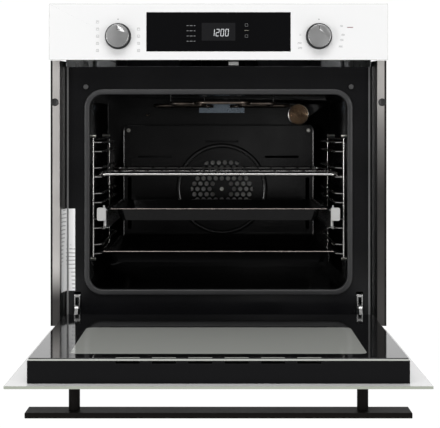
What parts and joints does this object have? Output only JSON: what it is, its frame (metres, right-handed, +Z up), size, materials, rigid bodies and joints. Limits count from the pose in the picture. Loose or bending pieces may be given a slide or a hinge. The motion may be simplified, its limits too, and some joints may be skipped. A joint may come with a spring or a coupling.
{
  "type": "wall oven",
  "caption": "Built-in electric wall oven with a drop-down glass door, bar handle, control panel with two knobs, wire shelf, trays on runners and a convection fan.",
  "frame": {"origin": "centre of the width, on the cabinet's front plane, at the underside of the base plate", "axes": "+X to the right seen from the room, +Y into the cabinet, +Z up; the door is open at rest"},
  "size_m": [0.594, 1.0271, 0.6272],
  "materials": {
    "white_glass": "glossy white-backed glass",
    "black_glass": "glossy black",
    "clear_glass": "clear",
    "inner_glass": "clear with a black printed border",
    "galvanised": "galvanised sheet",
    "flange_paint": "satin black",
    "black_enamel": "glossy black enamel",
    "door_paint": "satin black",
    "handle_black": "matt black",
    "gasket": "dark grey silicone",
    "buffer": "grey",
    "wool": "glass wool",
    "chrome_wire": "chromed wire",
    "heater": "heat-tinted steel tube",
    "steel": "bright steel",
    "light_plastic": "light grey",
    "dark_plastic": "black",
    "knob_metal": "grey satin",
    "motor": "lacquered",
    "circuit": "circuit board",
    "ceramic": "glazed ceramic",
    "amber_glass": "amber ribbed glass",
    "label": "plain label"
  },
  "bodies": {
    "chassis": {"air_duct": "galvanised", "base_plate": "galvanised", "blower_motor": "motor", "bottom_element": "heater", "cable_gland": "dark_plastic", "cavity_gasket": "gasket", "cavity_screws": "steel", "cavity_shell": "black_enamel", "control_electronics": "circuit", "data_label": "label", "display_lens": "black_glass", "door_buffers": "buffer", "door_switch": "light_plastic", "fan_cover": "black_enamel", "fan_motor": "motor", "fascia_glass": "white_glass", "front_frame": "black_enamel", "grill_element": "heater", "grill_supports": "galvanised", "hinge_arms": "steel", "hinge_receivers": "galvanised", "insulation": "wool", "lamp_glass": "amber_glass", "lamp_socket": "ceramic", "mounting_flanges": "flange_paint", "panel_carrier": "dark_plastic", "rear_cover": "galvanised", "ring_element": "heater", "runner_rails": "galvanised", "side_panels": "galvanised", "side_racks": "chrome_wire", "temperature_sensor": "heater", "terminal_box": "dark_plastic", "top_cover": "galvanised"},
    "door": {"door_outer_glass": "white_glass", "door_middle_glass": "clear_glass", "door_inner_glass": "inner_glass", "door_side_profiles": "door_paint", "door_top_trim": "door_paint", "door_bottom_profile": "door_paint", "glass_spacers": "door_paint", "hinge_bodies": "steel", "hinge_pins_springs": "steel", "handle_bar": "handle_black", "handle_posts": "handle_black", "handle_screws": "steel"},
    "knob_left": {"knob_body_left": "dark_plastic", "knob_cap_left": "knob_metal"},
    "knob_right": {"knob_body_right": "dark_plastic", "knob_cap_right": "knob_metal"},
    "convection_fan": {"convection_fan": "steel"},
    "blower_wheel": {"blower_wheel": "dark_plastic"},
    "wire_shelf": {"wire_shelf": "chrome_wire"},
    "lower_tray": {"lower_tray": "black_enamel"},
    "runner_carriage": {"runner_carriages": "steel", "runner_caps": "light_plastic", "runner_tray": "black_enamel"},
    "runner_middle": {"runner_middles": "steel"},
    "hinge_lever_left": {"hinge_lever_left": "steel"},
    "hinge_lever_right": {"hinge_lever_right": "steel"}
  },
  "joints": [
    {"name": "door_hinge", "type": "hinge", "parent": "chassis", "child": "door", "pos_m": [0, -0.0125, 0.0243], "axis": [1, 0, 0], "range_deg": [-90, 0]},
    {"name": "function_knob", "type": "hinge", "parent": "chassis", "child": "knob_left", "pos_m": [-0.176, -0.021, 0.538], "axis": [0, -1, 0], "range_deg": [-150, 150]},
    {"name": "temperature_knob", "type": "hinge", "parent": "chassis", "child": "knob_right", "pos_m": [0.176, -0.021, 0.538], "axis": [0, -1, 0], "range_deg": [-290, 0]},
    {"name": "convection_fan_spin", "type": "hinge", "parent": "chassis", "child": "convection_fan", "pos_m": [0.007, 0.45, 0.249], "axis": [0, 1, 0], "continuous": true},
    {"name": "blower_spin", "type": "hinge", "parent": "chassis", "child": "blower_wheel", "pos_m": [0, 0.38, 0.505], "axis": [0, 0, 1], "continuous": true},
    {"name": "wire_shelf_slide", "type": "slide", "parent": "chassis", "child": "wire_shelf", "axis": [0, -1, 0], "range_m": [0, 0.25]},
    {"name": "lower_tray_slide", "type": "slide", "parent": "chassis", "child": "lower_tray", "axis": [0, -1, 0], "range_m": [0, 0.25]},
    {"name": "runner_slide", "type": "slide", "parent": "chassis", "child": "runner_carriage", "axis": [0, -1, 0], "range_m": [0, 0.3]},
    {"name": "runner_middle_slide", "type": "slide", "parent": "chassis", "child": "runner_middle", "axis": [0, -1, 0], "range_m": [0, 0.15]},
    {"name": "hinge_lever_left_turn", "type": "hinge", "parent": "chassis", "child": "hinge_lever_left", "pos_m": [-0.2526, 0.0226, 0.056], "axis": [1, 0, 0], "range_deg": [0, 105]},
    {"name": "hinge_lever_right_turn", "type": "hinge", "parent": "chassis", "child": "hinge_lever_right", "pos_m": [0.2526, 0.0226, 0.056], "axis": [1, 0, 0], "range_deg": [0, 105]}
  ],
  "couplings": [
    {"joint": "runner_middle_slide", "follows": "runner_slide", "ratio": 0.5}
  ]
}
